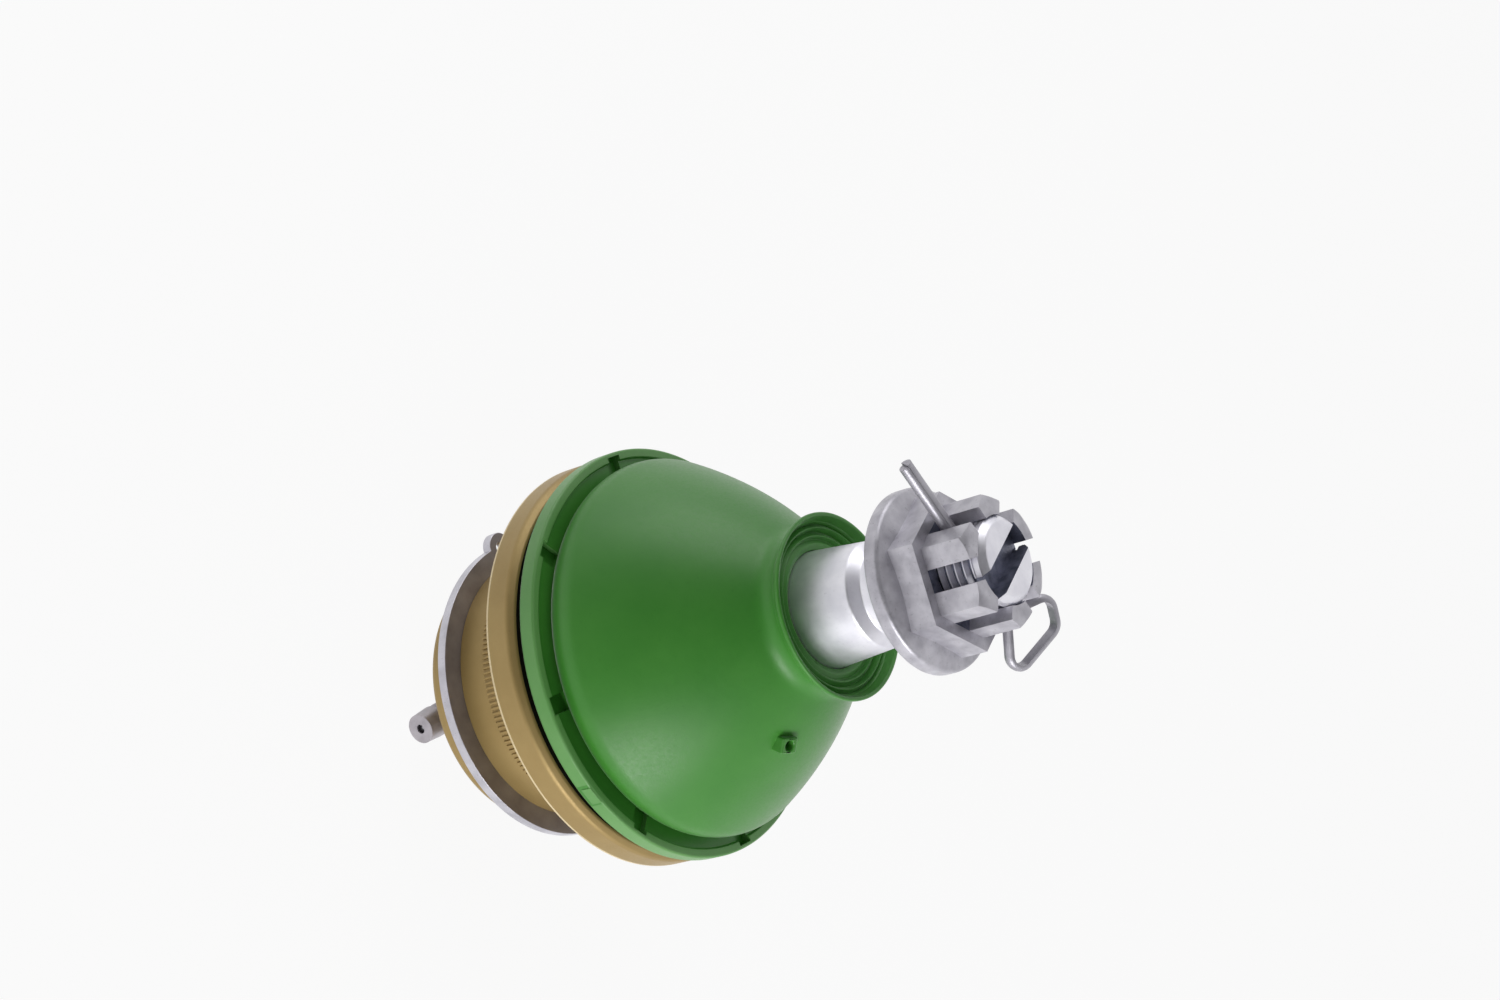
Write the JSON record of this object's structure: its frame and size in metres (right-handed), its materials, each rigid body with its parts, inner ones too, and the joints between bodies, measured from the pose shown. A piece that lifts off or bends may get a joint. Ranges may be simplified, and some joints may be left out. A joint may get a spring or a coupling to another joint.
{
  "type": "suspension ball joint",
  "caption": "Greasable press-in suspension ball joint: flanged housing with snap ring, rubber dust boot, tapered ball stud with castellated flange nut and cotter pin.",
  "frame": {"origin": "centre of the ball, on the axis of the press-in housing", "axes": "+Z along the stud from the ball to the nut, -X along the grease nozzle, +Y completes the right-handed set"},
  "size_m": [0.0684, 0.0684, 0.112],
  "materials": {
    "boot_rubber": "matt moulded rubber",
    "zinc_plate": "yellow-passivated zinc plate",
    "stud_steel": "satin bright steel",
    "nut_steel": "dull zinc plate",
    "pin_steel": "dull zinc wire",
    "spring_steel": "dark phosphate",
    "boot_ring_steel": "plain pressed steel",
    "bearing_metal": "sintered, oil-filled",
    "liner_plastic": "acetal",
    "fitting_steel": "bright zinc plate",
    "check_steel": "polished"
  },
  "bodies": {
    "housing": {"housing": "zinc_plate", "cover_plate": "zinc_plate", "upper_bearing": "bearing_metal", "lower_bearing": "bearing_metal", "belleville_spring": "spring_steel", "snap_ring": "spring_steel", "dust_boot": "boot_rubber", "boot_base_ring": "boot_ring_steel", "fitting_body": "fitting_steel", "fitting_spring": "check_steel"},
    "liner": {"ball_liner": "liner_plastic"},
    "boot_neck": {"boot_neck_ring": "boot_ring_steel"},
    "stud": {"ball_stud": "stud_steel", "castle_nut": "nut_steel", "cotter_pin": "pin_steel"},
    "check_ball": {"fitting_ball": "check_steel"}
  },
  "joints": [
    {"name": "swing_x", "type": "hinge", "parent": "housing", "child": "liner", "pos_m": [0, 0, 0], "axis": [1, 0, 0], "range_deg": [-18, 18], "deforming": ["dust_boot"]},
    {"name": "swing_y", "type": "hinge", "parent": "liner", "child": "boot_neck", "pos_m": [0, 0, 0], "axis": [0, 1, 0], "range_deg": [-18, 18], "deforming": ["dust_boot"]},
    {"name": "stud_spin", "type": "hinge", "parent": "boot_neck", "child": "stud", "pos_m": [0, 0, 0], "axis": [0, 0, 1], "continuous": true},
    {"name": "check_ball_slide", "type": "slide", "parent": "housing", "child": "check_ball", "axis": [1, 0, 0], "range_m": [0, 0.001], "stiffness_N_per_m": 300, "springref_m": -0.0005, "deforming": ["fitting_spring"]}
  ]
}
